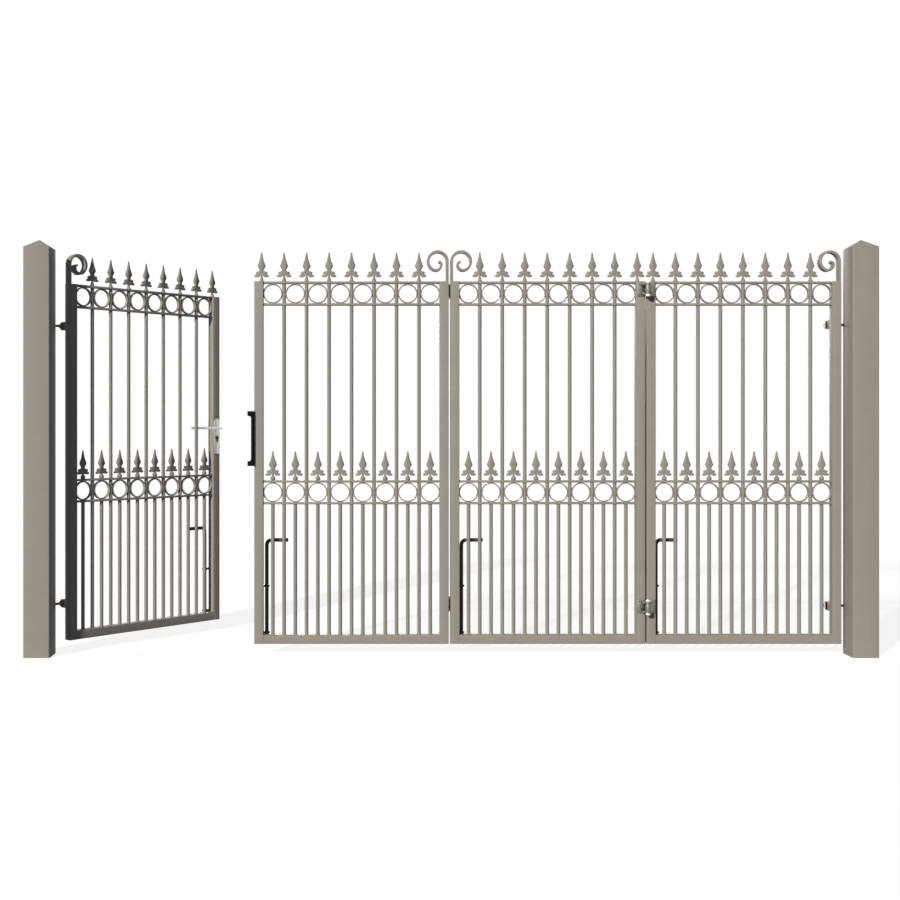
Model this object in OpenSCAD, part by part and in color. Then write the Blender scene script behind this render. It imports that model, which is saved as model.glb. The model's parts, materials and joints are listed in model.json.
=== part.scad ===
// Bi-fold driveway gate: a pass leaf on the left post and three folding leaves on the right post.
// Origin at the centre of the left post's base, +X along the gate, -Y the street side, +Z up. Millimetres.

/* [Posts] */
// Post width and depth
post_w = 140; // [100:5:200]
// Post wall thickness
post_wall = 5; // [3:0.5:10]
// Post height to the foot of its cap
post_h = 2174; // [1900:1:2500]
// Outer corner radius of the post tube
post_corner = 6; // [3:0.5:10]
// Height of the pyramid cap
cap_h = 44; // [20:1:90]

/* [Leaves] */
// Height of a leaf, bottom rail to top rail
leaf_h = 1930; // [1700:5:2200]
// Height of a leaf above the ground
leaf_z = 66; // [50:1:120]
// Box section of the stiles and bottom rails
stile = 47.5; // [40:0.5:60]
// Wall thickness of the box section
stile_wall = 3; // [2:0.5:4]
// Outer corner radius of the box section
stile_corner = 2; // [1:0.5:5]
// Gap between folding leaves
fold_gap = 9.5; // [8:0.5:16]
// Gap between the pass leaf and the next leaf when closed
lock_gap = 20; // [12:0.5:30]
// Gap between the left post and the pass leaf when closed
left_gap = 23; // [20:1:60]
// Gap between the right post and its leaf
right_gap = 43; // [36:1:60]
// Angle at which the pass leaf stands open
leaf_1_open = 45.5; // [10:0.5:80]

/* [Infill] */
// Spacing of the upright bars
bar_pitch = 120; // [108:1:130]
// Diameter of the upright bars
bar_d = 20; // [14:0.5:24]
// Depth of the flat rails
rail_d = 30; // [24:1:36]
// Thickness of the flat rails
rail_t = 12; // [8:0.5:16]
// Top of the upper middle rail above the leaf's bottom
mid_top = 870; // [760:5:960]
// Clear height between the rails of a ring band
band_h = 104; // [96:1:110]
// Wall of a ring
ring_t = 6; // [4:0.5:10]
// Depth of a ring
ring_d = 20; // [12:1:24]

/* [Finials] */
// Height of a top finial
finial_h = 156; // [120:1:170]
// Height of a middle finial
mid_finial_h = 156; // [120:1:170]
// Thickness of a finial
finial_t = 14; // [8:1:20]
// Half width of a finial's blade
blade_r = 20; // [14:0.5:24]
// Radius of a finial's upper and lower curls
curl_r = 9; // [7:0.5:10]
// Radius of a finial's stem
stem_r = 4.8; // [4:0.2:6]
// Radius of a top finial's foot
foot_r = 12; // [9:0.5:14]
// Radius of the teardrop knob under a middle finial
knob_r = 13.6; // [10:0.2:14]

/* [Scrolls] */
// Depth of a scroll
scroll_d = 38; // [16:1:44]
// Height of a scroll above the top rail
scroll_h = 166; // [140:1:180]
// Thickness of a scroll's stem
scroll_t = 14; // [10:0.5:16]
// Thickness of a scroll's tip
scroll_tip = 9; // [6:0.5:10]
// Centre-line radius of a scroll's arch
arch_r = 51; // [46:1:54]
// Centre-line radius of a scroll's return bend
return_r = 35; // [32:1:37]
// Centre-line radius of a scroll's inner curl
inner_r = 18; // [15:0.5:19]

/* [Hinges] */
// Distance of the post hinge pins behind the posts
pin_out = 18; // [17:1:26]
// Distance of the post hinge pins past the middle of the posts
pin_past = 7; // [0:0.5:14]
// Height of the lower post hinges above the leaf's bottom
low_hinge_z = 188; // [140:2:340]
// Drop of the upper post hinges below the leaf's top
high_hinge_drop = 224; // [150:2:400]
// Distance of the fold pins from the faces of the leaves
fold_out = 45; // [42:1:60]
// Height of the lower fold hinges above the leaf's bottom
low_fold_z = 201; // [140:1:340]
// Drop of the upper fold hinges below the leaf's top
high_fold_drop = 44; // [42:1:300]

/* [Bolts and lock] */
// Diameter of a drop bolt
bolt_d = 20; // [12:0.5:22]
// Length of the upright part of a drop bolt
bolt_l = 540; // [420:2:640]
// Length of a drop bolt's handle
bolt_handle = 115; // [60:1:140]
// Bend radius of a drop bolt
bolt_bend = 26; // [20:1:40]
// Height of the lever handles above the leaf's bottom
lever_z = 1146; // [1080:1:1180]
// Length of the lever handles
lever_l = 115; // [90:1:130]
// Drop of the key cylinders below the lever handles
key_drop = 58; // [44:1:70]

/* [Hidden] */
bars = 7;
rings = bars + 1;
leaf_w = 2*stile + rings*bar_pitch - bar_d;
leaf_1_x = post_w/2 + left_gap;
leaf_2_x = leaf_1_x + leaf_w + lock_gap;
leaf_3_x = leaf_2_x + leaf_w + fold_gap;
leaf_4_x = leaf_3_x + leaf_w + fold_gap;
right_post_x = leaf_4_x + leaf_w + right_gap + post_w/2;
pin_l_x = -pin_past;
pin_r_x = right_post_x + pin_past;
pin_y = post_w/2 + pin_out;
post_hinges = [leaf_z + low_hinge_z, leaf_z + leaf_h - high_hinge_drop];
fold_hinges = [leaf_z + low_fold_z, leaf_z + leaf_h - high_fold_drop];
half = stile/2;
first_bar = stile + bar_pitch - bar_d/2;
first_short = first_bar - bar_pitch/2;
ring_bite = 0.2;
ring_r = band_h/2 + ring_bite;
fold_pin_y = half + fold_out;
play = 0.05;

// Post hinges
bracket_t = 4;
bracket_w = 38;
bracket_h = 72;
lug_t = 10;
lug_gap = 26;
eye_r = 12;
eye_h = 24;
pin_r = 6;
pin_head_r = 9;
pin_head_h = 6;
rod_r = 7;
rod_end = 6;
rod_nut_r = 14;
rod_nut_h = 11;
carrier_in = 20;
carrier_w = 22;
carrier_r = 23;

// Fold hinges
leaf_plate_t = 6;
leaf_plate_h = 72;
leaf_plate_edge = 4;
ear_t = 10;
ear_r = 15;
ear_gap = 40;
ear_reach = 24;
fold_eye_h = 38;
fold_pin_r = 8;
fold_pin_l = 84;
fold_nut_r = 13;
fold_nut_h = 10;

// Drop bolts
bolt_room = 6;
bolt_y = half + bolt_d/2 + bolt_room;
bolt_in = 15;
bolt_x = stile + bolt_in;
bolt_foot = 8;
guide_h = 10;
guide_r = bolt_d/2 + bolt_room;
guide_edge = 8;
guide_heights = [stile, 297];

// Lock and keep
plate_t = 6;
plate_w = 42;
plate_drop = 154;
plate_rise = 55;
lock_x = leaf_w - half;
spindle_r = 6;
spindle_room = 5;
lever_r = 8;
neck_r = 9;
lever_bend = 14;
lever_out = 46;
lever_y = half + plate_t + lever_out;
lever_clear = 1;
key_r = 11;
key_web = 12;
key_l = 36;
key_out = 3;
keep_drop = 199;
keep_rise = 93;
keep_low = leaf_z + lever_z - keep_drop;
keep_high = leaf_z + lever_z + keep_rise;
keep_flange = 3;
keep_flange_d = 30;
keep_t = 8;
keep_spacer = 6;
keep_over = 16;
keep_lug = 19;
keep_lug_h = 26;
keep_fillet = 12;

module place_1() {
  translate([pin_l_x, pin_y, 0])
    rotate([0, 0, leaf_1_open])
      translate([leaf_1_x - pin_l_x, -pin_y, leaf_z])
        children();
}

module place_2() {
  translate([leaf_2_x, 0, leaf_z]) children();
}

module place_3() {
  translate([leaf_3_x, 0, leaf_z]) children();
}

module place_4() {
  translate([leaf_4_x, 0, leaf_z]) children();
}

module flip() {
  translate([leaf_w, 0, 0]) mirror([1, 0, 0]) children();
}

module rounded_square(w, r) {
  square([w - 2*r, w], center = true);
  square([w, w - 2*r], center = true);
  for (x = [-1, 1], y = [-1, 1]) {
    translate([x*(w/2 - r), y*(w/2 - r)]) circle(r = r, $fn = 32);
  }
}

module post_tube() {
  linear_extrude(height = post_h)
    difference() {
      rounded_square(post_w, post_corner);
      square(post_w - 2*post_wall, center = true);
    }
}

module cap() {
  translate([0, 0, post_h])
    rotate([0, 0, 45])
      cylinder(h = cap_h, r1 = post_w/sqrt(2), r2 = 0, $fn = 4);
}

module post_bracket() {
  // Pin axis at the origin, post on the -Y side.
  translate([-bracket_w/2, -pin_out, -bracket_h/2]) cube([bracket_w, bracket_t, bracket_h]);
  for (z = [-lug_gap/2 - lug_t, lug_gap/2]) {
    translate([-eye_r, -pin_out, z]) cube([2*eye_r, pin_out, lug_t]);
    translate([0, 0, z]) cylinder(h = lug_t, r = eye_r, $fn = 48);
  }
  pin_l = lug_gap + 2*lug_t + 2*pin_head_h;
  cylinder(h = pin_l, r = pin_r, center = true, $fn = 48);
  for (s = [-1, 1]) {
    translate([0, 0, s*(pin_l - pin_head_h)/2]) cylinder(h = pin_head_h, r = pin_head_r, center = true, $fn = 48);
  }
}

module leaf_eye(gap) {
  // Pin axis at the origin, stile on the +X side with its back face at y = half - pin_y.
  carrier_x = pin_past + post_w/2 + gap + carrier_in;
  rod_l = carrier_x + carrier_w + rod_nut_h + rod_end;
  difference() {
    union() {
      cylinder(h = eye_h, r = eye_r, center = true, $fn = 48);
      rotate([0, 90, 0]) cylinder(h = rod_l, r = rod_r, $fn = 32);
      translate([carrier_x, half - pin_y, -carrier_r]) cube([carrier_w, pin_y - half, 2*carrier_r]);
      translate([carrier_x, 0, 0]) rotate([0, 90, 0]) cylinder(h = carrier_w, r = carrier_r, $fn = 48);
      for (x = [carrier_x - rod_nut_h, carrier_x + carrier_w]) {
        translate([x, 0, 0]) rotate([0, 90, 0]) cylinder(h = rod_nut_h, r = rod_nut_r, $fn = 6);
      }
    }
    cylinder(h = 2*eye_h, r = pin_r + play, center = true, $fn = 48);
  }
}

module stile_tube(lock_hole = false) {
  inner = stile - 2*stile_wall;
  difference() {
    translate([half, 0, 0]) linear_extrude(height = leaf_h) rounded_square(stile, stile_corner);
    translate([stile_wall, -inner/2, -1]) cube([inner, inner, leaf_h + 1 - stile_wall]);
    if (lock_hole) {
      translate([half, 0, lever_z])
        rotate([90, 0, 0])
          cylinder(h = 2*stile, r = spindle_r + spindle_room, center = true, $fn = 32);
    }
  }
}

module bottom_rail() {
  translate([stile, 0, half])
    rotate([90, 0, 90])
      linear_extrude(height = leaf_w - 2*stile)
        difference() {
          rounded_square(stile, stile_corner);
          square(stile - 2*stile_wall, center = true);
        }
}

module rail(top) {
  translate([stile, -rail_d/2, top - rail_t]) cube([leaf_w - 2*stile, rail_d, rail_t]);
}

module ring(x, z) {
  translate([x, 0, z])
    rotate([90, 0, 0])
      difference() {
        cylinder(h = ring_d, r = ring_r, center = true, $fn = 48);
        cylinder(h = ring_d + 2, r = ring_r - ring_t, center = true, $fn = 48);
      }
}

module infill() {
  low_rail = mid_top - rail_t - band_h;
  rail(leaf_h);
  rail(leaf_h - rail_t - band_h);
  rail(mid_top);
  rail(low_rail);
  for (i = [0:bars - 1]) {
    translate([first_bar + i*bar_pitch, 0, stile])
      cylinder(h = leaf_h - stile - rail_t/2, d = bar_d, $fn = 12);
  }
  for (i = [0:rings - 1]) {
    translate([first_short + i*bar_pitch, 0, stile])
      cylinder(h = low_rail - rail_t/2 - stile, d = bar_d, $fn = 12);
  }
  intersection() {
    translate([stile, -rail_d, stile]) cube([leaf_w - 2*stile, 2*rail_d, leaf_h]);
    for (i = [0:rings - 1], z = [leaf_h, mid_top]) {
      ring(first_short + i*bar_pitch, z - rail_t - band_h/2);
    }
  }
}

// Front of a cast spear of height h: blade, waist, two curls on each side and stem
module spear_front(h) {
  waist_r = 0.56*blade_r;
  curl_z = 0.325*h;
  leaf_tip_z = 0.19*h;
  for (s = [0, 1]) {
    mirror([s, 0]) {
      polygon([[0, 0.3*h], [waist_r, 0.3*h], [waist_r, 0.45*h], [0.7*blade_r, 0.485*h], [blade_r, 0.565*h],
        [0.97*blade_r, 0.6*h], [0.56*blade_r, 0.74*h], [0.22*blade_r, 0.88*h], [0, h]]);
      translate([waist_r + 1.15*curl_r, curl_z]) circle(r = curl_r, $fn = 32);
      polygon([[0, curl_z - curl_r/2], [waist_r + 1.15*curl_r, curl_z - curl_r],
        [waist_r + 1.15*curl_r, curl_z + curl_r], [0, curl_z + curl_r]]);
      polygon([[0, 0.2*h], [stem_r, 0.21*h], [waist_r + curl_r, leaf_tip_z - 0.4*curl_r],
        [waist_r + 3.1*curl_r, leaf_tip_z - 0.35*curl_r], [waist_r + 3.15*curl_r, leaf_tip_z + 0.5*curl_r],
        [waist_r + 1.6*curl_r, leaf_tip_z + 1.3*curl_r], [0, curl_z]]);
    }
  }
  translate([-stem_r, 0]) square([2*stem_r, 0.3*h]);
}

// Side of the same spear: full thickness up to the blade, then thin towards the tip
module spear_side(h) {
  for (s = [0, 1]) {
    mirror([s, 0])
      polygon([[0, 0], [0.34*finial_t, 0], [0.34*finial_t, 0.13*h], [finial_t/2, 0.22*h], [finial_t/2, 0.36*h],
        [0.36*finial_t, 0.44*h], [finial_t/2, 0.565*h], [0.12*finial_t, h], [0, h]]);
  }
}

module spear(h) {
  intersection() {
    rotate([90, 0, 0]) linear_extrude(height = finial_t, center = true) spear_front(h);
    rotate([90, 0, 90]) linear_extrude(height = 6*blade_r, center = true) spear_side(h);
  }
}

module flared_foot() {
  sweep_r = 11;
  rotate_extrude($fn = 48)
    difference() {
      square([foot_r, sweep_r + 3]);
      translate([stem_r + sweep_r, sweep_r + 3]) circle(r = sweep_r, $fn = 48);
    }
}

module teardrop_knob() {
  lean = 35;
  join_r = knob_r*cos(lean);
  join_z = knob_r + knob_r*sin(lean);
  rotate_extrude($fn = 48)
    intersection() {
      square([2*knob_r, 4*knob_r]);
      union() {
        translate([0, knob_r]) circle(r = knob_r, $fn = 48);
        polygon([[0, knob_r], [join_r, join_z], [stem_r, join_z + (join_r - stem_r)/tan(lean)],
          [0, join_z + (join_r - stem_r)/tan(lean)]]);
      }
    }
}

module finials(flipped = false) {
  for (i = [0:rings - 1]) {
    x = first_bar + i*bar_pitch;
    translate([flipped ? leaf_w - x : x, 0, leaf_h]) {
      spear(finial_h);
      flared_foot();
    }
    translate([first_short + i*bar_pitch, 0, mid_top]) {
      spear(mid_finial_h);
      teardrop_knob();
    }
  }
}

// Scroll centre line: an arch, a return bend and an inner curl, each tangent to the one before
scroll_arcs = [
  [scroll_t/2 + arch_r, scroll_h - scroll_t/2 - arch_r, arch_r, 180, 0],
  [scroll_t/2 + 2*arch_r - return_r, scroll_h - scroll_t/2 - arch_r - 15, return_r, 0, -180],
  [scroll_t/2 + 2*arch_r - 2*return_r + inner_r, scroll_h - scroll_t/2 - arch_r - 15, inner_r, -180, -280]];
scroll_steps = 16;

// Point on one side of the scroll: arc k, share t along it, side s of the centre line
function scroll_pt(k, t, s) =
  let(arc = scroll_arcs[k], a = arc[3] + (arc[4] - arc[3])*t, done = (k + t)/len(scroll_arcs),
    r = arc[2] + s*(scroll_t + (scroll_tip - scroll_t)*done)/2)
  [arc[0] + r*cos(a), arc[1] + r*sin(a)];

module scroll() {
  last = len(scroll_arcs) - 1;
  outer = [for (k = [0:last], i = [0:scroll_steps]) scroll_pt(k, i/scroll_steps, 1)];
  inner = [for (k = [last:-1:0], i = [scroll_steps:-1:0]) scroll_pt(k, i/scroll_steps, -1)];
  translate([0, 0, leaf_h])
    rotate([90, 0, 0])
      linear_extrude(height = scroll_d, center = true)
        polygon(concat([[0, 0]], outer, inner, [[scroll_t, 0]]));
}

module bolt_guides() {
  difference() {
    union() {
      for (z = guide_heights) {
        translate([guide_edge, half, z]) cube([bolt_x - guide_edge, 2*guide_r, guide_h]);
        translate([bolt_x, bolt_y, z]) cylinder(h = guide_h, r = guide_r, $fn = 48);
      }
    }
    translate([bolt_x, bolt_y, 0]) cylinder(h = bolt_l, r = bolt_d/2 + play, $fn = 48);
  }
}

module drop_bolt() {
  translate([bolt_x, bolt_y, bolt_foot]) {
    cylinder(h = bolt_l - bolt_bend, d = bolt_d, $fn = 48);
    translate([bolt_bend, 0, bolt_l - bolt_bend])
      rotate([90, 0, 0])
        rotate([0, 0, 90])
          rotate_extrude(angle = 90, $fn = 48)
            translate([bolt_bend, 0]) circle(d = bolt_d, $fn = 48);
    translate([bolt_bend, 0, bolt_l])
      rotate([0, 90, 0])
        cylinder(h = bolt_handle - bolt_bend, d = bolt_d, $fn = 48);
  }
}

module leaf_plate() {
  translate([fold_gap/2 + leaf_plate_edge, fold_out - leaf_plate_t, -leaf_plate_h/2])
    cube([stile - 2*leaf_plate_edge, leaf_plate_t, leaf_plate_h]);
}

module fold_fork() {
  // Pin axis at the origin, leaf on the -X side with its face at y = fold_out.
  difference() {
    mirror([1, 0, 0]) {
      leaf_plate();
      for (z = [-ear_gap/2 - ear_t, ear_gap/2]) {
        translate([0, 0, z]) cylinder(h = ear_t, r = ear_r, $fn = 48);
        translate([0, 0, z]) cube([fold_gap/2 + ear_reach, fold_out - leaf_plate_t/2, ear_t]);
      }
    }
    cylinder(h = 2*leaf_plate_h, r = fold_pin_r + play, center = true, $fn = 48);
  }
}

module fold_eye() {
  // Pin axis at the origin, leaf on the +X side with its face at y = fold_out.
  difference() {
    union() {
      leaf_plate();
      cylinder(h = fold_eye_h, r = ear_r, center = true, $fn = 48);
      translate([0, 0, -fold_eye_h/2]) cube([fold_gap/2 + ear_reach, fold_out - leaf_plate_t/2, fold_eye_h]);
    }
    cylinder(h = 2*leaf_plate_h, r = fold_pin_r + play, center = true, $fn = 48);
  }
}

module fold_pin() {
  cylinder(h = fold_pin_l, r = fold_pin_r, center = true, $fn = 48);
  for (z = [-ear_gap/2 - ear_t - fold_nut_h, ear_gap/2 + ear_t]) {
    translate([0, 0, z]) cylinder(h = fold_nut_h, r = fold_nut_r, $fn = 6);
  }
}

module front_fold_place() {
  for (z = fold_hinges) {
    translate([leaf_4_x - fold_gap/2, -fold_pin_y, z]) children();
  }
}

module back_fold_place() {
  for (z = fold_hinges) {
    translate([leaf_3_x - fold_gap/2, fold_pin_y, z]) rotate([0, 0, 180]) children();
  }
}

module lock_plate() {
  // Upright plate with a round head, a spindle hole and the key cylinder's end, facing -Z.
  difference() {
    union() {
      linear_extrude(height = plate_t) {
        translate([lock_x - plate_w/2, lever_z - plate_drop]) square([plate_w, plate_drop + plate_rise - plate_w/2]);
        translate([lock_x, lever_z + plate_rise - plate_w/2]) circle(d = plate_w, $fn = 48);
      }
      linear_extrude(height = plate_t + key_out) {
        translate([lock_x, lever_z - key_drop]) circle(r = key_r, $fn = 48);
        translate([lock_x - key_web/2, lever_z - key_drop - key_l + key_r + key_web/2])
          square([key_web, key_l - key_r - key_web/2]);
        translate([lock_x, lever_z - key_drop - key_l + key_r + key_web/2]) circle(d = key_web, $fn = 32);
      }
    }
    translate([lock_x, lever_z, -1]) cylinder(h = plate_t + 2, r = spindle_r + play, $fn = 48);
  }
}

module lever_arm() {
  // Neck out of the plate, quarter bend and round grip towards -X.
  neck_l = lever_y - lever_bend - half - plate_t - lever_clear;
  translate([0, half + plate_t + lever_clear, 0]) rotate([-90, 0, 0]) cylinder(h = neck_l, r = neck_r, $fn = 48);
  translate([-lever_bend, lever_y - lever_bend, 0])
    rotate_extrude(angle = 90, $fn = 48)
      translate([lever_bend, 0]) circle(r = lever_r, $fn = 48);
  translate([-lever_bend, lever_y, 0])
    rotate([0, -90, 0])
      cylinder(h = lever_l - lever_bend - lever_r, r = lever_r, $fn = 48);
  translate([lever_r - lever_l, lever_y, 0]) sphere(r = lever_r, $fn = 48);
}

module keep_side() {
  // Front of the keep: an upright bar with a lug at each end and a fillet inside each lug.
  tall = keep_high - keep_low;
  translate([-keep_over, 0]) square([keep_over, tall]);
  for (s = [0, 1]) {
    translate([0, s*tall])
      mirror([0, s]) {
        translate([-keep_over - keep_lug, 0]) square([keep_lug + 1, keep_lug_h]);
        difference() {
          translate([-keep_over - keep_fillet, keep_lug_h - 1]) square([keep_fillet + 1, keep_fillet + 1]);
          translate([-keep_over - keep_fillet, keep_lug_h + keep_fillet]) circle(r = keep_fillet, $fn = 32);
        }
      }
  }
}

module left_post() {
  color("#9A9184") post_tube();
}

module right_post() {
  color("#9A9184") translate([right_post_x, 0, 0]) post_tube();
}

module left_cap() {
  color("#9A9184") cap();
}

module right_cap() {
  color("#9A9184") translate([right_post_x, 0, 0]) cap();
}

module left_hinge_brackets() {
  color("#7D796C") for (z = post_hinges) translate([pin_l_x, pin_y, z]) post_bracket();
}

module right_hinge_brackets() {
  color("#7D796C") for (z = post_hinges) translate([pin_r_x, pin_y, z]) post_bracket();
}

module leaf_1_hinge_eyes() {
  color("#7D796C") place_1() for (z = post_hinges)
    translate([pin_l_x - leaf_1_x, pin_y, z - leaf_z]) leaf_eye(left_gap);
}

module leaf_4_hinge_eyes() {
  color("#7D796C") for (z = post_hinges)
    translate([pin_r_x, pin_y, z]) mirror([1, 0, 0]) leaf_eye(right_gap);
}

module leaf_1_left_stile() {
  color("#9A9184") place_1() stile_tube();
}

module leaf_1_right_stile() {
  color("#9A9184") place_1() translate([leaf_w - stile, 0, 0]) stile_tube(true);
}

module leaf_1_bottom_rail() {
  color("#9A9184") place_1() bottom_rail();
}

module leaf_1_infill() {
  color("#9A9184") place_1() infill();
}

module leaf_1_finials() {
  color("#9A9184") place_1() finials();
}

module leaf_1_scroll() {
  color("#9A9184") place_1() scroll();
}

module leaf_1_bolt_guides() {
  color("#2F2F30") place_1() flip() bolt_guides();
}

module leaf_1_drop_bolt() {
  color("#2F2F30") place_1() flip() drop_bolt();
}

module leaf_2_left_stile() {
  color("#9A9184") place_2() stile_tube();
}

module leaf_2_right_stile() {
  color("#9A9184") place_2() translate([leaf_w - stile, 0, 0]) stile_tube();
}

module leaf_2_bottom_rail() {
  color("#9A9184") place_2() bottom_rail();
}

module leaf_2_infill() {
  color("#9A9184") place_2() infill();
}

module leaf_2_finials() {
  color("#9A9184") place_2() finials(true);
}

module leaf_2_scroll() {
  color("#9A9184") place_2() flip() scroll();
}

module leaf_2_bolt_guides() {
  color("#2F2F30") place_2() bolt_guides();
}

module leaf_2_drop_bolt() {
  color("#2F2F30") place_2() drop_bolt();
}

module leaf_3_left_stile() {
  color("#9A9184") place_3() stile_tube();
}

module leaf_3_right_stile() {
  color("#9A9184") place_3() translate([leaf_w - stile, 0, 0]) stile_tube();
}

module leaf_3_bottom_rail() {
  color("#9A9184") place_3() bottom_rail();
}

module leaf_3_infill() {
  color("#9A9184") place_3() infill();
}

module leaf_3_finials() {
  color("#9A9184") place_3() finials();
}

module leaf_3_scroll() {
  color("#9A9184") place_3() scroll();
}

module leaf_3_bolt_guides() {
  color("#2F2F30") place_3() bolt_guides();
}

module leaf_3_drop_bolt() {
  color("#2F2F30") place_3() drop_bolt();
}

module leaf_4_left_stile() {
  color("#9A9184") place_4() stile_tube();
}

module leaf_4_right_stile() {
  color("#9A9184") place_4() translate([leaf_w - stile, 0, 0]) stile_tube();
}

module leaf_4_bottom_rail() {
  color("#9A9184") place_4() bottom_rail();
}

module leaf_4_infill() {
  color("#9A9184") place_4() infill();
}

module leaf_4_finials() {
  color("#9A9184") place_4() finials(true);
}

module leaf_4_scroll() {
  color("#9A9184") place_4() flip() scroll();
}

module leaf_4_bolt_guides() {
  color("#2F2F30") place_4() bolt_guides();
}

module leaf_4_drop_bolt() {
  color("#2F2F30") place_4() drop_bolt();
}

module front_fold_forks() {
  color("#7D796C") front_fold_place() fold_fork();
}

module front_fold_eyes() {
  color("#4A4843") front_fold_place() fold_eye();
}

module front_fold_pins() {
  color("#C9C8C2") front_fold_place() fold_pin();
}

module back_fold_forks() {
  color("#7D796C") back_fold_place() fold_fork();
}

module back_fold_eyes() {
  color("#4A4843") back_fold_place() fold_eye();
}

module back_fold_pins() {
  color("#C9C8C2") back_fold_place() fold_pin();
}

module lock_plates() {
  color("#A9A7A0") place_1() for (s = [0, 1]) {
    mirror([0, s, 0]) translate([0, -half, 0]) rotate([90, 0, 0]) lock_plate();
  }
}

module lever_handles() {
  color("#B4B2AB") place_1() translate([lock_x, 0, lever_z]) {
    rotate([90, 0, 0]) cylinder(h = 2*(lever_y - lever_bend), r = spindle_r, center = true, $fn = 48);
    for (s = [0, 1]) {
      mirror([0, s, 0]) lever_arm();
    }
  }
}

module lock_keep() {
  color("#2F2F30") translate([leaf_2_x, -half, keep_low]) {
    translate([-keep_flange, -keep_spacer, 0]) cube([keep_flange, keep_flange_d, keep_high - keep_low]);
    translate([0, -keep_spacer, 0]) rotate([90, 0, 0]) linear_extrude(height = keep_t) keep_side();
  }
}

left_post();
right_post();
left_cap();
right_cap();
left_hinge_brackets();
right_hinge_brackets();
leaf_1_left_stile();
leaf_1_right_stile();
leaf_1_bottom_rail();
leaf_1_infill();
leaf_1_finials();
leaf_1_scroll();
leaf_1_bolt_guides();
leaf_1_drop_bolt();
leaf_2_left_stile();
leaf_2_right_stile();
leaf_2_bottom_rail();
leaf_2_infill();
leaf_2_finials();
leaf_2_scroll();
leaf_2_bolt_guides();
leaf_2_drop_bolt();
leaf_3_left_stile();
leaf_3_right_stile();
leaf_3_bottom_rail();
leaf_3_infill();
leaf_3_finials();
leaf_3_scroll();
leaf_3_bolt_guides();
leaf_3_drop_bolt();
leaf_4_left_stile();
leaf_4_right_stile();
leaf_4_bottom_rail();
leaf_4_infill();
leaf_4_finials();
leaf_4_scroll();
leaf_4_bolt_guides();
leaf_4_drop_bolt();
leaf_1_hinge_eyes();
leaf_4_hinge_eyes();
front_fold_forks();
front_fold_eyes();
front_fold_pins();
back_fold_forks();
back_fold_eyes();
back_fold_pins();
lock_plates();
lever_handles();
lock_keep();
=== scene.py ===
"""Bi-fold driveway gate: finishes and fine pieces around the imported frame, drawn in millimetres."""
import json
import math

import bmesh
import bpy
from mathutils import Matrix, Vector


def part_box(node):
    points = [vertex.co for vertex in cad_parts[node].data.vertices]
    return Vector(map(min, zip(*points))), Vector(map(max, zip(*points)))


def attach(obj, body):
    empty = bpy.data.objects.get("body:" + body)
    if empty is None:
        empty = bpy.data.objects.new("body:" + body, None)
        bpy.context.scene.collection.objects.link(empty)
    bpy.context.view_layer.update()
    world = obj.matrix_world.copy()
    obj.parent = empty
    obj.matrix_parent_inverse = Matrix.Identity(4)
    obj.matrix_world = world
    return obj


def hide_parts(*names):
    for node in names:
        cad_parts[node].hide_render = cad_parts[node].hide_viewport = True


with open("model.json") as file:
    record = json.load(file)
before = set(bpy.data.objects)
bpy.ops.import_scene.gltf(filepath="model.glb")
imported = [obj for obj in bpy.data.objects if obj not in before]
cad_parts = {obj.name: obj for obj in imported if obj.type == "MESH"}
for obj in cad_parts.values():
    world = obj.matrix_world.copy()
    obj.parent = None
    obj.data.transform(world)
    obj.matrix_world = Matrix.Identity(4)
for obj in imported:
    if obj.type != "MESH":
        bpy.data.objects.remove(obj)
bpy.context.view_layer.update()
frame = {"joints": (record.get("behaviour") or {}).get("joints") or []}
M_TO_MM = 1000.0


def box_mm(node):
    """Lowest and highest corner of a CAD node in millimetres."""
    low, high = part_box(node)
    return low * M_TO_MM, high * M_TO_MM


# Leaf sizes, read from the frame
stile_low, stile_high = box_mm("leaf_2_left_stile")
STILE = stile_high.x - stile_low.x
HALF = STILE / 2
LEAF_Z = stile_low.z
LEAF_H = stile_high.z - stile_low.z
LEAF_W = box_mm("leaf_2_right_stile")[1].x - stile_low.x
RAIL_DEEP = box_mm("leaf_2_infill")[1].y * 2
SPEARS_LOW, SPEARS_HIGH = box_mm("leaf_2_finials")
MID_TOP = SPEARS_LOW.z - LEAF_Z
TOP_SPEAR = SPEARS_HIGH.z - stile_high.z
SCROLL_LOW, SCROLL_HIGH = box_mm("leaf_2_scroll")
SCROLL_H = SCROLL_HIGH.z - SCROLL_LOW.z
SCROLL_DEEP = SCROLL_HIGH.y - SCROLL_LOW.y
SWING = next(joint for joint in frame["joints"] if joint["name"] == "leaf_1_swing")
LEAF_1_OPEN = math.radians(-SWING["range_deg"][0])
BOX_CORNER = 2.0
STILE_WALL = 3.0
STILE_HOLLOW = 60.0
STILE_RIM = 1.2

# Infill sizes
RINGS = 8
BAR_D = 20.0
PITCH = (LEAF_W - 2 * STILE + BAR_D) / RINGS
RAIL_T = 12.0
BAND_H = 104.0
RING_T = 6.0
RING_DEEP = 20.0
FIRST_BAR = STILE + PITCH - BAR_D / 2
FIRST_SHORT = FIRST_BAR - PITCH / 2
BAR_SIDES = 32
WELD = 3.0

# Drop bolt sizes
bolt_low, bolt_high = box_mm("leaf_2_drop_bolt")
BOLT_D = bolt_high.y - bolt_low.y
BOLT_X = bolt_low.x + BOLT_D / 2 - stile_low.x
BOLT_Y = (bolt_low.y + bolt_high.y) / 2
BOLT_FOOT = bolt_low.z - LEAF_Z
BOLT_TOP = bolt_high.z - BOLT_D / 2 - LEAF_Z
BOLT_REACH = bolt_high.x - stile_low.x
BOLT_BEND = 26.0
GUIDE_R = BOLT_Y - HALF
GUIDE_H = 10.0
GUIDE_Z = (STILE, 297.0)
GUIDE_ARM_X = 8.0
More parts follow.
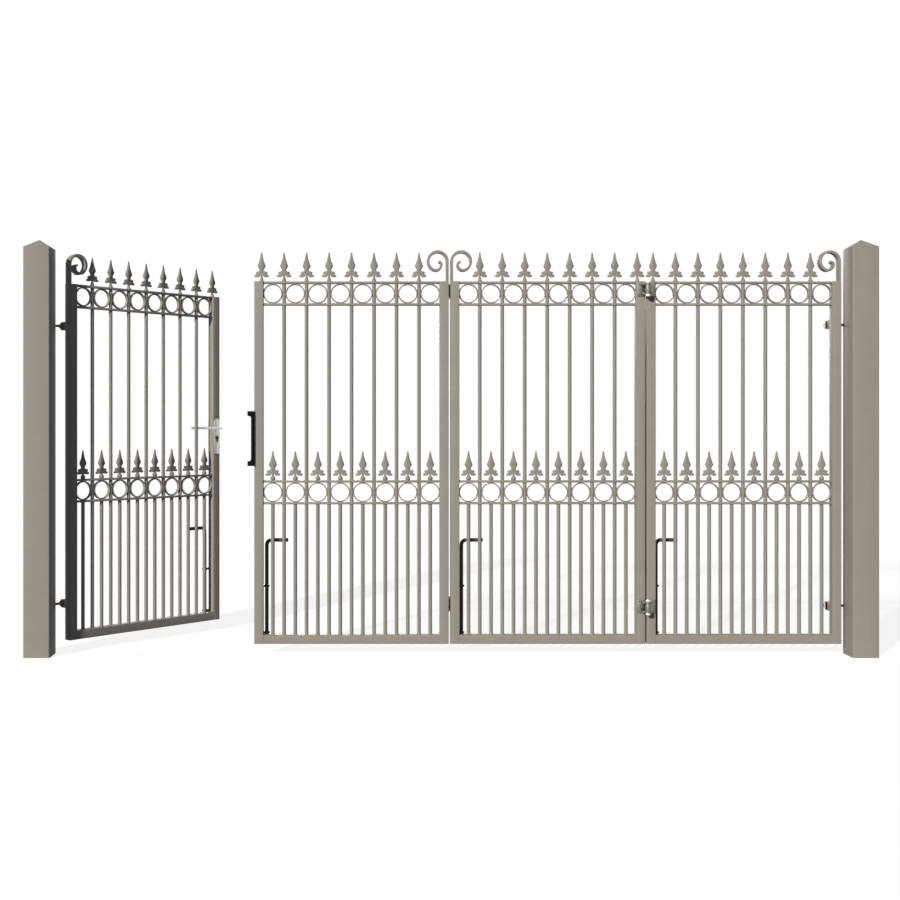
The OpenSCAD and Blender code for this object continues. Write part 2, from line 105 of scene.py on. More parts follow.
# Distance from a bolt's end and what its radius loses there, which rounds the end
BOLT_END = ((0, 3), (2, 1), (4, 0))

# Post sizes
POST_CORNER = 6.0
CAP_TIP_R = 3.0
CAP_EDGE = 1.5

# Post hinge sizes
BRACKET_LOW, BRACKET_HIGH = box_mm("left_hinge_brackets")
BRACKET_H = 72.0
BRACKET_T = 4.0
BRACKET_W = BRACKET_HIGH.x - BRACKET_LOW.x
LUG_Z = (-23.0, 13.0)
LUG_T = 10.0
LUG_SINK = 2.0
BRACKET_SCREW_X = 12.0
BRACKET_SCREW_Z = 30.0
HINGE_PIN_R = 6.0
HINGE_PIN_END = 27.0
PIN_HEAD_R = 9.0
PIN_HEAD = (23.0, 29.0)
EYE_R = 12.0
EYE_H = 24.0
PIN_Y = BRACKET_HIGH.y - EYE_R
PIN_OUT = PIN_Y - BRACKET_LOW.y
LEFT_PIN_X = BRACKET_LOW.x + BRACKET_W / 2
RIGHT_PIN_X = box_mm("right_hinge_brackets")[0].x + BRACKET_W / 2
POST_HINGES = (BRACKET_LOW.z + BRACKET_H / 2, BRACKET_HIGH.z - BRACKET_H / 2)
CARRIER_IN = 20.0
CARRIER_W = 22.0
CARRIER_R = 23.0
ROD_R = 7.0
ROD_SINK = 3.0
ROD_TIP_R = 4.5
ROD_TIP_L = 2.0
THREAD_STEPS = 40
THREAD_DEEP = 0.9
NUT_R = 14.0
NUT_H = 11.0

# Fold hinge sizes
FOLD_LOW, FOLD_HIGH = box_mm("front_fold_pins")
FOLD_PIN_L = 84.0
FOLD_PIN_R = 8.0
FOLD_HINGES = (FOLD_LOW.z + FOLD_PIN_L / 2, FOLD_HIGH.z - FOLD_PIN_L / 2)
FRONT_PIN = (FOLD_LOW + FOLD_HIGH) / 2
BACK_PIN = sum(box_mm("back_fold_pins"), Vector((0, 0, 0))) / 2
FOLD_OUT = -HALF - FRONT_PIN.y
FOLD_GAP = 2 * (box_mm("leaf_4_left_stile")[0].x - FRONT_PIN.x)
LEAF_PLATE_T = 6.0
LEAF_PLATE_H = 72.0
LEAF_PLATE_INSET = 4.0
SCREW_INSET = 8.0
EAR_R = 14.9
EAR_T = 10.0
EAR_GAP = 40.0
EAR_REACH = 24.0
FOLD_EYE_H = 38.0
FOLD_NUT_R = 13.0
FOLD_NUT_H = 10.0

# Lock sizes
plate_low, plate_high = box_mm("lock_plates")
lever_low, lever_high = box_mm("lever_handles")
LEVER_Z = (lever_low.z + lever_high.z) / 2 - LEAF_Z
PLATE_LOW = plate_low.z - LEAF_Z
PLATE_HIGH = plate_high.z - LEAF_Z
PLATE_W = 42.0
PLATE_T = 6.0
LOCK_X = LEAF_W - HALF
PLATE_SCREWS = (14.0, 11.0)
ROSE_R = 9.8
ROSE_T = 0.9
KEY_Z = LEVER_Z - 58.0
KEY_PLUG_R = 11.0
KEY_BODY_R = 6.0
KEY_BODY_DROP = 19.0
KEY_OUT = 3.0
KEY_SINK = 1.0
LEVER_L = 115.0
LEVER_R = 9.0
LEVER_OUT = HALF + PLATE_T + 44.5
LEVER_BEND = 14.0
LEVER_GAP = 1.0
LEVER_COLLAR = 2.0
# Distance from the lever's end and radius there
LEVER_END = ((30, 8.4), (8, LEVER_R), (3, 7.2), (1, 5), (0, 2))
KEEP_LOW, KEEP_HIGH = box_mm("lock_keep")
KEEP_T = 8.0
KEEP_LUG = 19.0
KEEP_LUG_H = 26.0
KEEP_FILLET = 12.0
KEEP_FLANGE = 3.0
KEEP_SINK = 1.0


# Materials


def linear(code):
    """Linear colour of an sRGB hex value."""
    parts = [int(code[i:i + 2], 16) / 255 for i in (0, 2, 4)]
    return tuple(c / 12.92 if c <= 0.04045 else ((c + 0.055) / 1.055) ** 2.4 for c in parts) + (1.0,)


def per_mm(size):
    """Texture scale that gives features of this size in millimetres."""
    return M_TO_MM / size


def add(tree, kind, inputs=None, **settings):
    """Adds a node, sets its settings, and sets or links its inputs."""
    made = tree.nodes.new(kind)
    for key, value in settings.items():
        setattr(made, key, value)
    for key, value in (inputs or {}).items():
        if isinstance(value, bpy.types.NodeSocket):
            tree.links.new(value, made.inputs[key])
        else:
            made.inputs[key].default_value = value
    return made


def blank(name):
    """A new node material: itself, its tree, its shader and its object coordinates."""
    material = bpy.data.materials.new(name)
    material.use_nodes = True
    tree = material.node_tree
    return material, tree, tree.nodes["Principled BSDF"], add(tree, "ShaderNodeTexCoord").outputs["Object"]


def paint(name, dark, light, dust, rough, shine):
    """Sprayed satin paint on steel: faint mottling, rain streaks, dust low down and a soft orange peel."""
    material, tree, shader, place = blank(name)
    mottle = add(tree, "ShaderNodeTexNoise", {"Vector": place, "Scale": per_mm(90), "Detail": 4.0})
    drawn_out = add(tree, "ShaderNodeMapping", {"Vector": place, "Scale": (1, 1, 0.06)})
    streak = add(tree, "ShaderNodeTexNoise",
                 {"Vector": drawn_out.outputs[0], "Scale": per_mm(45), "Detail": 3.0})
    both = add(tree, "ShaderNodeMath", {0: mottle.outputs[0], 1: streak.outputs[0]}, operation="MULTIPLY")
    tone = add(tree, "ShaderNodeMapRange", {"Value": both.outputs[0], "From Min": 0.12, "From Max": 0.4})
    colour = add(tree, "ShaderNodeMix",
                 {0: tone.outputs[0], 6: linear(dark), 7: linear(light)}, data_type="RGBA")
    height = add(tree, "ShaderNodeSeparateXYZ", {"Vector": place})
    low = add(tree, "ShaderNodeMapRange",
              {"Value": height.outputs["Z"], "From Min": 0.0, "From Max": 0.35, "To Min": 0.5, "To Max": 0.0})
    dusty = add(tree, "ShaderNodeMath", {0: low.outputs[0], 1: mottle.outputs[0]}, operation="MULTIPLY")
    dressed = add(tree, "ShaderNodeMix",
                  {0: dusty.outputs[0], 6: colour.outputs[2], 7: linear(dust)}, data_type="RGBA")
    tree.links.new(dressed.outputs[2], shader.inputs["Base Color"])
    gloss = add(tree, "ShaderNodeMapRange",
                {"Value": mottle.outputs[0], "To Min": rough - 0.03, "To Max": rough + 0.05})
    tree.links.new(gloss.outputs[0], shader.inputs["Roughness"])
    # Real orange peel is about 2 mm; drawn at 5 mm so that it shows.
    peel = add(tree, "ShaderNodeTexNoise", {"Vector": place, "Scale": per_mm(5), "Detail": 2.0})
    bump = add(tree, "ShaderNodeBump", {"Height": peel.outputs[0], "Strength": 0.12, "Distance": 0.001})
    tree.links.new(bump.outputs[0], shader.inputs["Normal"])
    shader.inputs["Specular IOR Level"].default_value = shine
    return material


def steel(name, dark, light, grain, stretch, rough):
    """Bare steel: a grain of crystals or brush lines in the colour, the gloss and the relief."""
    material, tree, shader, place = blank(name)
    turned = add(tree, "ShaderNodeMapping", {"Vector": place, "Scale": stretch})
    cells = add(tree, "ShaderNodeTexVoronoi", {"Vector": turned.outputs[0], "Scale": per_mm(grain)})
    cloud = add(tree, "ShaderNodeTexNoise", {"Vector": turned.outputs[0], "Scale": per_mm(grain * 3)})
    both = add(tree, "ShaderNodeMath", {0: cells.outputs[0], 1: cloud.outputs[0]}, operation="ADD")
    tone = add(tree, "ShaderNodeMapRange", {"Value": both.outputs[0], "From Min": 0.4, "From Max": 1.2})
    colour = add(tree, "ShaderNodeMix",
                 {0: tone.outputs[0], 6: linear(dark), 7: linear(light)}, data_type="RGBA")
    tree.links.new(colour.outputs[2], shader.inputs["Base Color"])
    gloss = add(tree, "ShaderNodeMapRange",
                {"Value": tone.outputs[0], "To Min": rough - 0.08, "To Max": rough + 0.1})
    tree.links.new(gloss.outputs[0], shader.inputs["Roughness"])
    bump = add(tree, "ShaderNodeBump", {"Height": both.outputs[0], "Strength": 0.1, "Distance": 0.0005})
    tree.links.new(bump.outputs[0], shader.inputs["Normal"])
    shader.inputs["Metallic"].default_value = 1.0
    return material


# Warm grey paint that reads as one even, matt coat with a trace of weather on the flats.
STONE = paint("stone_grey_spray_paint", "968D80", "9C9285", "A2988A", 0.55, 0.1)
# Black paint on the keep, deep and matt.
BLACK = paint("satin_black_paint", "0D0D0D", "141414", "282623", 0.6, 0.06)
# Black paint of the bolts and guides, lightened to a dark grey as painted light that brightens them where
# they sit in shade, with dust near the ground.
SHADE_LIFTED_BLACK = paint("shade_lifted_black_paint", "494542", "55514D", "59554E", 0.55, 0.2)
# Dull zinc coat whose crystals show as a faint mosaic on the hinges.
GALVANISED = steel("hot_dip_galvanised_steel", "625E55", "86817A", 7.0, (1, 1, 1), 0.5)
# Oiled dark steel of the key cylinders, nearly black beside the plates.
OILED = steel("oiled_dark_steel", "33312D", "4C4943", 6.0, (1, 1, 1), 0.45)
# Bright plated nuts and pins that catch the light as small white spots.
ZINC = steel("bright_zinc_plate", "C6C4BC", "E2E1DB", 5.0, (1, 1, 1), 0.28)
# Satin stainless lock furniture with fine upright brush lines.
SATIN = steel("satin_stainless_steel", "B4B2AC", "D8D6D0", 3.0, (1, 1, 0.08), 0.33)


# Mesh helpers


def bevel(bm, edges, offset, segments=2):
    """Rounds these edges."""
    bmesh.ops.bevel(bm, geom=edges, offset=offset, offset_type="OFFSET", segments=segments,
                    profile=0.5, affect="EDGES", material=-1, clamp_overlap=True)


def edges_of(verts):
    """Edges whose two ends are both among these vertices, in the order of the vertices."""
    chosen = set(verts)
    met = dict.fromkeys(e for v in verts for e in v.link_edges)
    return [e for e in met if set(e.verts) <= chosen]


def cuboid(bm, low, high):
    """The vertices of a sharp box between two corners."""
    low, high = Vector(low), Vector(high)
    shape = Matrix.Translation((low + high) / 2) @ Matrix.Diagonal((*(high - low), 1))
    return bmesh.ops.create_cube(bm, size=1, matrix=shape)["verts"]


def block(bm, low, high, radius=1.5, segments=2):
    """A box between two corners with rounded edges."""
    bevel(bm, edges_of(cuboid(bm, low, high)), radius, segments)


def box_section(bm, low, high, axis, corner):
    """A box rounded only along one axis, as a drawn tube is."""
    verts = cuboid(bm, low, high)
    long_edges = [e for e in edges_of(verts) if abs(e.verts[0].co[axis] - e.verts[1].co[axis]) > 1e-3]
    bevel(bm, long_edges, corner, segments=4)


def aim(start, direction):
    """Matrix that turns +Z to a direction and moves to a point."""
    return Matrix.Translation(start) @ Vector(direction).to_track_quat("Z", "Y").to_matrix().to_4x4()


def rod(bm, start, end, radius, sides=24, chamfer=0.8, tip=None):
    """A round or few-sided bar from one point to another, with chamfered ends."""
    start, end = Vector(start), Vector(end)
    verts = bmesh.ops.create_cone(bm, cap_ends=True, segments=sides, radius1=radius,
                                  radius2=radius if tip is None else tip, depth=(end - start).length,
                                  matrix=aim((start + end) / 2, end - start))["verts"]
    if chamfer:
        caps = [e for e in edges_of(verts) if any(len(f.verts) > 4 for f in e.link_faces)]
        bevel(bm, caps, chamfer)


def skin(bm, rings):
    """A closed skin through rings of points."""
    loops = []
    for points in rings:
        verts = [bm.verts.new(point) for point in points]
        loops.append([bm.edges.new((verts[i - 1], verts[i])) for i in range(len(verts))])
    for near, far in zip(loops, loops[1:]):
        bmesh.ops.bridge_loops(bm, edges=near + far)
    for end in (loops[0], loops[-1]):
        bmesh.ops.edgeloop_fill(bm, edges=end)


def loft(bm, stations, sides):
    """A closed skin through round rings; a station is the matrix that takes a unit circle to its ring."""
    turns = [2 * math.pi * i / sides for i in range(sides)]
    circle = [Vector((math.cos(t), math.sin(t), 0)) for t in turns]
    skin(bm, [[station @ point for point in circle] for station in stations])


def upright(z, wide, deep):
    """Station of a level ring."""
    return Matrix.Translation((0, 0, z)) @ Matrix.Diagonal((wide, deep, 1, 1))


def along(points, radii, depth=Vector((0, 1, 0))):
    """Stations of a bar that follows points in a plane square to depth."""
    stations = []
    for i, (point, radius) in enumerate(zip(points, radii)):
        way = (points[min(i + 1, len(points) - 1)] - points[max(i - 1, 0)]).normalized()
        turn = Matrix((depth.cross(way) * radius, depth * radius, way)).transposed().to_4x4()
        stations.append(Matrix.Translation(point) @ turn)
    return stations


def spot(centre, radius, degrees):
    """A point of a circle, as a pair."""
    turn = math.radians(degrees)
    return centre[0] + radius * math.cos(turn), centre[1] + radius * math.sin(turn)


def arc(centre, radius, start, stop, steps):
    """Points of an arc, as pairs; angles in degrees."""
    return [spot(centre, radius, start + (stop - start) * i / steps) for i in range(steps + 1)]


def ring(radius, wall, deep, edge=1.2, steps=64):
    """A flat-bar ring standing in the plane of the leaf."""
    bm = bmesh.new()
    inner, outer, d = radius - wall, radius, deep / 2
    corners = [(outer, d - edge), (outer - edge, d), (inner + edge, d), (inner, d - edge),
               (inner, edge - d), (inner + edge, -d), (outer - edge, -d), (outer, edge - d)]
    verts = [bm.verts.new((r, y, 0)) for r, y in corners]
    edges = [bm.edges.new((verts[i - 1], verts[i])) for i in range(len(verts))]
    bmesh.ops.spin(bm, geom=verts + edges, cent=(0, 0, 0), axis=(0, 1, 0), dvec=(0, 0, 0),
                   angle=2 * math.pi, steps=steps, use_merge=True)
    return bm


def plate(bm, outline, y_low, y_high, edge=1.5):
    """A flat plate: an outline in X and Z pulled along Y, with its rims rounded."""
    verts = [bm.verts.new((x, y_low, z)) for x, z in outline]
    face = bm.faces.new(verts)
    pulled = bmesh.ops.extrude_face_region(bm, geom=[face])["geom"]
    top = [v for v in pulled if isinstance(v, bmesh.types.BMVert)]
    bmesh.ops.translate(bm, verts=top, vec=(0, y_high - y_low, 0))
    bevel(bm, edges_of(verts) + edges_of(top), edge)


def bead(bm, start, end, radius=2.2, pitch=4.0, tail=0.35, waist=0.85):
    """A weld bead: a thin bar whose width swells at each drop."""
    start, end = Vector(start), Vector(end)
    drops = max(4, int((end - start).length / pitch)) * 2
    turn = aim(start, end - start)
    step = (end - start).length / drops
    swell = [tail if i in (0, drops) else (waist, 1.0)[i % 2] for i in range(drops + 1)]
    loft(bm, [turn @ upright(i * step, radius * s, radius * s) for i, s in enumerate(swell)], sides=8)


def hex_nut(bm, start, end, radius):
    """A six-sided nut between two points, with its corners chamfered."""
    rod(bm, start, end, radius, sides=6, chamfer=1.4)


# Height and width of a domed screw head with its dimple, as shares of the whole
SCREW_DOME = ((0, 1), (0.35, 0.98), (0.7, 0.8), (0.92, 0.5), (1, 0.3), (0.7, 0.22))


def screw(bm, at, direction, radius=4.5, head=2.2):
    """A domed screw head standing on a face."""
    move = aim(at, direction)
    loft(bm, [move @ upright(h * head, radius * w, radius * w) for h, w in SCREW_DOME], sides=16)


def repeated(drawn, places):
    """One mesh with a copy of a drawn piece at each place."""
    copy = bpy.data.meshes.new("copy")
    drawn.to_mesh(copy)
    drawn.free()
    joined = bmesh.new()
    for place in places:
        copy.transform(place)
        joined.from_mesh(copy)
        copy.transform(place.inverted())
    bpy.data.meshes.remove(copy)
    return joined


def join(bm, other):
    """Adds a second mesh to the first."""
    copy = bpy.data.meshes.new("copy")
    other.to_mesh(copy)
    other.free()
    bm.from_mesh(copy)
    bpy.data.meshes.remove(copy)


SHARP_DEG = 38


def finish_piece(name, bm, place, material, body, slot, *nodes):
    """Turns a mesh drawn in millimetres into a piece of the gate that rides on a body."""
    bm.transform(Matrix.Scale(1 / M_TO_MM, 4) @ place)
    bmesh.ops.recalc_face_normals(bm, faces=bm.faces)
    mesh = bpy.data.meshes.new(name)
    bm.to_mesh(mesh)
    bm.free()
    mesh.shade_smooth()
    mesh.set_sharp_from_angle(angle=math.radians(SHARP_DEG))
    mesh.materials.append(material)
    piece = bpy.data.objects.new(name, mesh)
    bpy.context.scene.collection.objects.link(piece)
    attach(piece, body)
    if nodes:
        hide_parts(*nodes)


# Leaf pieces


def box_stile():
    """An upright of box section with rounded corners, a closed top and a hollow foot."""
    bm = bmesh.new()
    box_section(bm, (0, -HALF, 0), (STILE, HALF, LEAF_H), axis=2, corner=BOX_CORNER)
    foot = min(bm.faces, key=lambda f: f.calc_center_median().z)
    bmesh.ops.inset_region(bm, faces=[foot], thickness=STILE_WALL, use_even_offset=True)
    bmesh.ops.translate(bm, verts=foot.verts, vec=(0, 0, STILE_HOLLOW))
    crown = max(bm.faces, key=lambda f: f.calc_center_median().z)
    bevel(bm, list(crown.edges), STILE_RIM)
    return bm


def bottom_rail():
    """The box-section rail between the stiles, with weld beads at its ends."""
    bm = bmesh.new()
    box_section(bm, (STILE, -HALF, 0), (LEAF_W - STILE, HALF, STILE), axis=0, corner=BOX_CORNER)
    for x in (STILE, LEAF_W - STILE):
        bead(bm, (x, -HALF + BOX_CORNER, STILE), (x, HALF - BOX_CORNER, STILE))
    return bm


def infill():
    """Round bars, flat rails and two bands of rings, welded into one panel."""
    bm = bmesh.new()
    low_rail = MID_TOP - RAIL_T - BAND_H
    for top in (LEAF_H, LEAF_H - RAIL_T - BAND_H, MID_TOP, low_rail):
        block(bm, (STILE, -RAIL_DEEP / 2, top - RAIL_T), (LEAF_W - STILE, RAIL_DEEP / 2, top))
        for x in (STILE, LEAF_W - STILE):
            bead(bm, (x, -RAIL_DEEP / 2, top - RAIL_T), (x, RAIL_DEEP / 2, top - RAIL_T))
    long_bars = [(FIRST_BAR + i * PITCH, LEAF_H) for i in range(RINGS - 1)]
    short_bars = [(FIRST_SHORT + i * PITCH, low_rail) for i in range(RINGS)]
    for x, top in long_bars + short_bars:
        foot = (x, 0, STILE)
        rod(bm, foot, (x, 0, top - RAIL_T / 2), BAR_D / 2, BAR_SIDES, chamfer=0)
        rod(bm, foot, (x, 0, STILE + WELD), BAR_D / 2 + WELD, BAR_SIDES, chamfer=0, tip=BAR_D / 2)
    heights = [top - RAIL_T - BAND_H / 2 for top in (LEAF_H, MID_TOP)]
    places = [Matrix.Translation((FIRST_SHORT + i * PITCH, 0, z)) for i in range(RINGS) for z in heights]
    join(bm, repeated(ring(BAND_H / 2, RING_T, RING_DEEP), places))
    return bm


# Right half of a cast spear's outline: distance from its middle and height
SPEAR_H = 156.0
SPEAR = ((5, 10), (5, 36.5), (9, 36), (14, 32.8), (21, 27.3), (28, 24.8), (34, 24.3), (38.5, 26.5),
         (39.5, 30.5), (36.5, 35), (32, 38.3), (27.5, 40.5), (30.6, 43), (31.8, 47), (29.8, 51.5),
         (25, 54.3), (19, 54.3), (14, 56.5), (11.5, 60.5), (11.8, 64.5), (13.8, 69), (18.5, 77), (21.3, 83),
         (20.3, 88), (15.8, 99.6), (12, 110), (9.2, 120), (6.2, 135), (4.4, 147), (3.2, 153.5),
         (1.2, SPEAR_H))
# Height and half depth of the spear's curls, blade and tip
SPEAR_DEEP = ((10, 5.5), (30, 6.5), (58, 6.5), (83, 11), (120, 6.5), (SPEAR_H, 2.5))
# Share of its depth and of its width at each layer of a spear, which rounds it to its rim
SPEAR_LAYERS = ((-1, 0.55), (-0.75, 0.85), (-0.3, 1), (0.3, 1), (0.75, 0.85), (1, 0.55))
# Height and radius of the two kinds of foot
FLARE = ((0, 14), (4, 12), (8, 10.2), (16, 7.8), (25, 5.8), (34, 4.8))
KNOB = ((0, 9), (3, 12), (8, 13.8), (13, 13), (18, 10), (23, 6.8), (28, 5))


def half_depth(z):
    """Half depth of a spear at a height, straight between the heights given."""
    for (low, thin), (high, thick) in zip(SPEAR_DEEP, SPEAR_DEEP[1:]):
        if z <= high:
            return thin + (thick - thin) * (z - low) / (high - low)
    return SPEAR_DEEP[-1][1]


def spear(foot):
    """A cast spear finial: a full blade over four curls, rounded to its rim, on a turned foot."""
    bm = bmesh.new()
    outline = [*SPEAR, *[(-x, z) for x, z in reversed(SPEAR)]]
    skin(bm, [[(x * width, share * half_depth(z), z) for x, z in outline] for share, width in SPEAR_LAYERS])
    loft(bm, [upright(h, r, r) for h, r in foot], sides=24)
    return bm


def finials():
    """The spears on the top rail and on the middle rail."""
    both = bmesh.new()
    for first, z, height, foot in ((FIRST_BAR, LEAF_H, TOP_SPEAR, FLARE),
                                   (FIRST_SHORT, MID_TOP, SPEAR_H, KNOB)):
        size = Matrix.Diagonal((1, 1, height / SPEAR_H, 1))
        places = [Matrix.Translation((first + i * PITCH, 0, z)) @ size for i in range(RINGS)]
        join(both, repeated(spear(foot), places))
    return both


def scroll():
    """A flat-bar scroll: a stem, a wide bend, a closer return and a small inner curl with a blunt end."""
    bm = bmesh.new()
    thick, tip = 14.0, 11.0
    # Radii of the three bends, and the angles where the return begins and the curl ends
    wide, close, curl = 51.0, 30.0, 14.5
    lean, end = -60.0, -275.0
    edge, steps = 2.0, 30
    middle = thick / 2 + wide
    top = SCROLL_H - thick / 2 - wide
    back_x, back_z = spot((middle, top), wide - close, lean)
    bends = (((middle, top), wide, 180, lean), ((back_x, back_z), close, lean, -180),
             ((back_x - close + curl, back_z), curl, -180, end))
    total = len(bends) * steps
    sides = {1: [(0, 0)], -1: [(thick, 0)]}
    for n, (centre, radius, start, stop) in enumerate(bends):
        for side, line in sides.items():
            for i in range(1 if n else 0, steps + 1):
                half = (thick + (tip - thick) * (n * steps + i) / total) / 2
                turn = start + (stop - start) * i / steps
                line.append(spot(centre, radius + side * half, turn))
    outline = [(x, z + LEAF_H) for x, z in sides[1] + sides[-1][::-1]]
    plate(bm, outline, -SCROLL_DEEP / 2, SCROLL_DEEP / 2, edge)
    return bm


def bolt_guides():
    """Two guide eyes for a drop bolt, each on a flat arm from the stile."""
    bm = bmesh.new()
    for z in GUIDE_Z:
        block(bm, (GUIDE_ARM_X, HALF, z), (BOLT_X, HALF + 2 * GUIDE_R, z + GUIDE_H), radius=2, segments=3)
        rod(bm, (BOLT_X, BOLT_Y, z), (BOLT_X, BOLT_Y, z + GUIDE_H), GUIDE_R, sides=32, chamfer=2)
    return bm


def drop_bolt():
    """A round bar bent over at the top into its handle."""
    bm = bmesh.new()
    r = BOLT_D / 2
    bend = arc((BOLT_X + BOLT_BEND, BOLT_TOP - BOLT_BEND), BOLT_BEND, 180, 90, 12)
    foot = [(BOLT_X, BOLT_FOOT + far) for far, _ in BOLT_END]
    grip = [(BOLT_REACH - far, BOLT_TOP) for far, _ in BOLT_END]
    line = [*foot, *bend, *reversed(grip)]
    rounded = [r - cut for _, cut in BOLT_END]
    radii = [*rounded, *[r] * len(bend), *reversed(rounded)]
    loft(bm, along([Vector((x, BOLT_Y, z)) for x, z in line], radii), sides=24)
    return bm


FLIP = Matrix.Translation((LEAF_W, 0, 0)) @ Matrix.Diagonal((-1, 1, 1, 1))


def leaf_place(number):
    """Matrix from a leaf's own corner to the frame, in millimetres."""
    low, high = box_mm(f"leaf_{number}_left_stile")
    turn = Matrix.Rotation(LEAF_1_OPEN if number == 1 else 0, 4, "Z")
    return Matrix.Translation((low + high) / 2 - turn @ Vector((HALF, 0, LEAF_H / 2))) @ turn


def dress_leaf(number):
    """All pieces of one leaf."""
    place = leaf_place(number)
    body = f"leaf_{number}"
    top_place = place @ FLIP if number in (2, 4) else place
    bolt_place = place @ FLIP if number == 1 else place
    right = Matrix.Translation((LEAF_W - STILE, 0, 0))
    # Guides and bolts take the black paint that is lightened as painted light for their shade.
    stone, black = (STONE, body, "stone_paint"), (SHADE_LIFTED_BLACK, body, "black_paint")
    bolt = (SHADE_LIFTED_BLACK, f"drop_bolt_{number}", "black_paint")
    for name, part, where, finish, node in (
            ("left_box_stile", "stile", place, stone, "left_stile"),
            ("right_box_stile", "stile", place @ right, stone, "right_stile"),
            ("box_rail", "rail", place, stone, "bottom_rail"),
            ("bars_and_rings", "infill", place, stone, "infill"),
            ("cast_spears", "finials", top_place, stone, "finials"),
            ("forged_scroll", "scroll", top_place, stone, "scroll"),
            ("guide_eyes", "guides", bolt_place, black, "bolt_guides"),
            ("bent_bolt", "bolt", bolt_place, bolt, "drop_bolt")):
        finish_piece(f"{body}_{name}", LEAF_PARTS[part].copy(), where, *finish, f"{body}_{node}")


LEAF_PARTS = {"stile": box_stile(), "rail": bottom_rail(), "infill": infill(), "finials": finials(),
              "scroll": scroll(), "guides": bolt_guides(), "bolt": drop_bolt()}
for leaf in (1, 2, 3, 4):
    dress_leaf(leaf)
for drawn in LEAF_PARTS.values():
    drawn.free()


# Posts


def post(low, high):
    """A square tube post with rounded corners."""
    bm = bmesh.new()
    box_section(bm, low, high, axis=2, corner=POST_CORNER)
    return bm


def cap(low, high, top):
    """A low pyramid welded on the post."""
    bm = bmesh.new()
    middle = (low + high) / 2
    centre = Matrix.Translation((middle.x, middle.y, (high.z + top) / 2))
    shape = centre @ Matrix.Rotation(math.pi / 4, 4, "Z")
    verts = bmesh.ops.create_cone(bm, cap_ends=True, segments=4, radius1=(high.x - low.x) / math.sqrt(2),
                                  radius2=CAP_TIP_R, depth=top - high.z, matrix=shape)["verts"]
    bevel(bm, edges_of(verts), CAP_EDGE)
    return bm


UNMOVED = Matrix.Identity(4)
MIRROR_X = Matrix.Diagonal((-1, 1, 1, 1))
for side in ("left", "right"):
    corners = box_mm(f"{side}_post")
    finish_piece(f"{side}_tube_post", post(*corners), UNMOVED, STONE, "posts", "stone_paint", f"{side}_post")
    finish_piece(f"{side}_pyramid_cap", cap(*corners, box_mm(f"{side}_cap")[1].z), UNMOVED, STONE, "posts",
                 "stone_paint", f"{side}_cap")


# Post hinges, drawn with the pin at the origin, the post on the -Y side and the leaf's edge at reach


def hinge_bracket():
    """A welded fork: a back plate and two rounded lugs."""
    bm = bmesh.new()
    wide = BRACKET_W / 2
    face = BRACKET_T - PIN_OUT
    block(bm, (-wide, -PIN_OUT, -BRACKET_H / 2), (wide, face, BRACKET_H / 2), radius=1.2)
    for z in LUG_Z:
        block(bm, (-EYE_R, face - LUG_SINK, z), (EYE_R, 0, z + LUG_T), radius=1.2)
        rod(bm, (0, 0, z), (0, 0, z + LUG_T), EYE_R, sides=32, chamfer=1.2)
        for edge in (z, z + LUG_T):
            bead(bm, (-EYE_R, face, edge), (EYE_R, face, edge), radius=1.8)
    for x in (-BRACKET_SCREW_X, BRACKET_SCREW_X):
        for z in (-BRACKET_SCREW_Z, BRACKET_SCREW_Z):
            screw(bm, (x, face, z), (0, 1, 0), radius=4.0)
    return bm


def hinge_pin():
    """The hinge's round pin with a turned head at each end."""
    bm = bmesh.new()
    rod(bm, (0, 0, -HINGE_PIN_END), (0, 0, HINGE_PIN_END), HINGE_PIN_R)
    for side in (-1, 1):
        near, far = (side * z for z in PIN_HEAD)
        rod(bm, (0, 0, near), (0, 0, far), PIN_HEAD_R, chamfer=1.8)
    return bm


def eye_rod(reach):
    """An eye on a threaded rod, held by a round-nosed carrier welded to the back of the stile."""
    bm = bmesh.new()
    rod(bm, (0, 0, -EYE_H / 2), (0, 0, EYE_H / 2), EYE_R, sides=32, chamfer=1.2)
    near, far = reach + CARRIER_IN, reach + CARRIER_IN + CARRIER_W
    start, end = near - 2 * NUT_H, far + NUT_H
    rod(bm, (EYE_R - ROD_SINK, 0, 0), (start, 0, 0), ROD_R, sides=20, chamfer=0)
    step = (end - ROD_TIP_L - start) / THREAD_STEPS
    thread = [(start + step * i, ROD_R - THREAD_DEEP * (i % 2)) for i in range(THREAD_STEPS + 1)]
    thread.append((end, ROD_TIP_R))
    loft(bm, along([Vector((x, 0, 0)) for x, _ in thread], [r for _, r in thread]), sides=16)
    block(bm, (near, HALF - PIN_Y, -CARRIER_R), (far, 0, CARRIER_R))
    rod(bm, (near, 0, 0), (far, 0, 0), CARRIER_R, sides=40, chamfer=1.5)
    hex_nut(bm, (near - NUT_H, 0, 0), (near, 0, 0), NUT_R)
    return bm


def rod_nut(reach):
    """The plated nut at the far end of the rod."""
    bm = bmesh.new()
    far = reach + CARRIER_IN + CARRIER_W
    hex_nut(bm, (far, 0, 0), (far + NUT_H, 0, 0), NUT_R)
    return bm


def at_heights(drawn, place, heights):
    """One mesh with a copy of a drawn piece at each height."""
    return repeated(drawn, [place @ Matrix.Translation((0, 0, z)) for z in heights])


